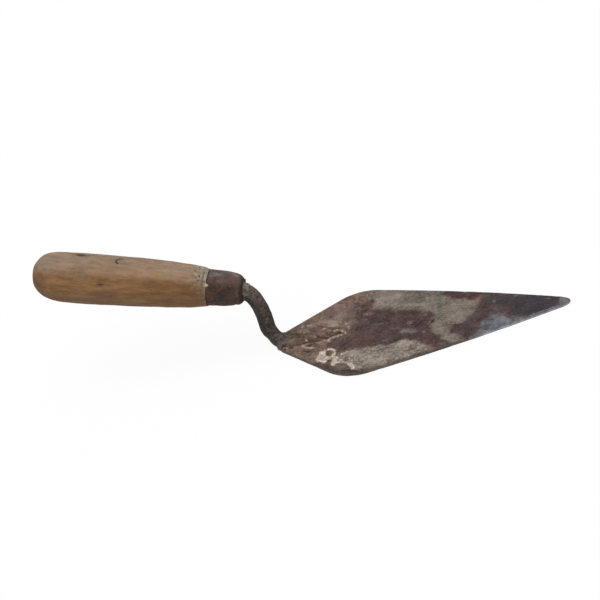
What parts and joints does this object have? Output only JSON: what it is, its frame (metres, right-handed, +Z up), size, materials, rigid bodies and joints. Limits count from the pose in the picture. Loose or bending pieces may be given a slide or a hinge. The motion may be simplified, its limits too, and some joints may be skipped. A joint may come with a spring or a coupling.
{
  "type": "pointing trowel",
  "caption": "Mason's pointing trowel: kite-shaped steel blade, cranked shank with a tang, swaged steel ferrule and turned wooden handle.",
  "frame": {"origin": "on the blade's flat underside, where the two diagonals of its kite outline cross", "axes": "+X along the blade to its tip, +Y to the blade's left side, +Z up, away from the surface that the blade lies on"},
  "size_m": [0.277, 0.0784, 0.0763],
  "materials": {
    "blade_steel": "rust-stained steel with dried mortar",
    "shank_steel": "dark, pitted forged steel",
    "ferrule_steel": "even brown rust",
    "handle_wood": "weathered, unvarnished"
  },
  "bodies": {
    "root": {"blade": "blade_steel", "shank": "shank_steel", "ferrule": "ferrule_steel", "handle": "handle_wood"}
  },
  "joints": []
}
